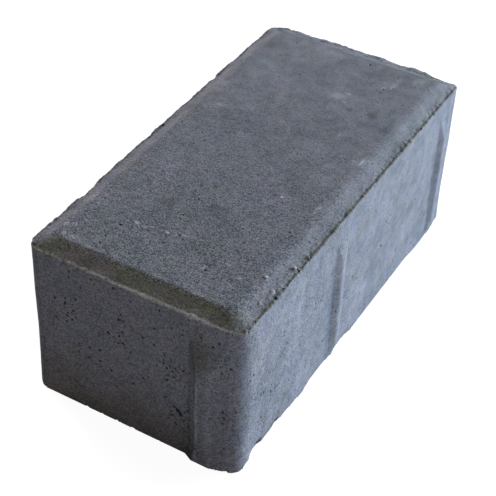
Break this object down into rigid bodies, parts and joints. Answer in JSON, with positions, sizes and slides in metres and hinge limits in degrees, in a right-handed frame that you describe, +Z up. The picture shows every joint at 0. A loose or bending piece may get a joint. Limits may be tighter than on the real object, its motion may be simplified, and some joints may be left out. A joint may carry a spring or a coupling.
{
  "type": "concrete paving stone",
  "caption": "Rectangular block paving stone with a bevelled rim and low spacer nibs on its walls, for paths, drives and yards.",
  "frame": {"origin": "middle of the flat underside", "axes": "+Z up out of the top face, +Y along the long sides, +X along the short ends"},
  "size_m": [0.102, 0.202, 0.08],
  "materials": {
    "concrete": "cast concrete, matt, blue-grey, fine sandy grain with open pores and a rough arris below the bevel"
  },
  "bodies": {
    "root": {"paving_stone": "concrete"}
  },
  "joints": []
}
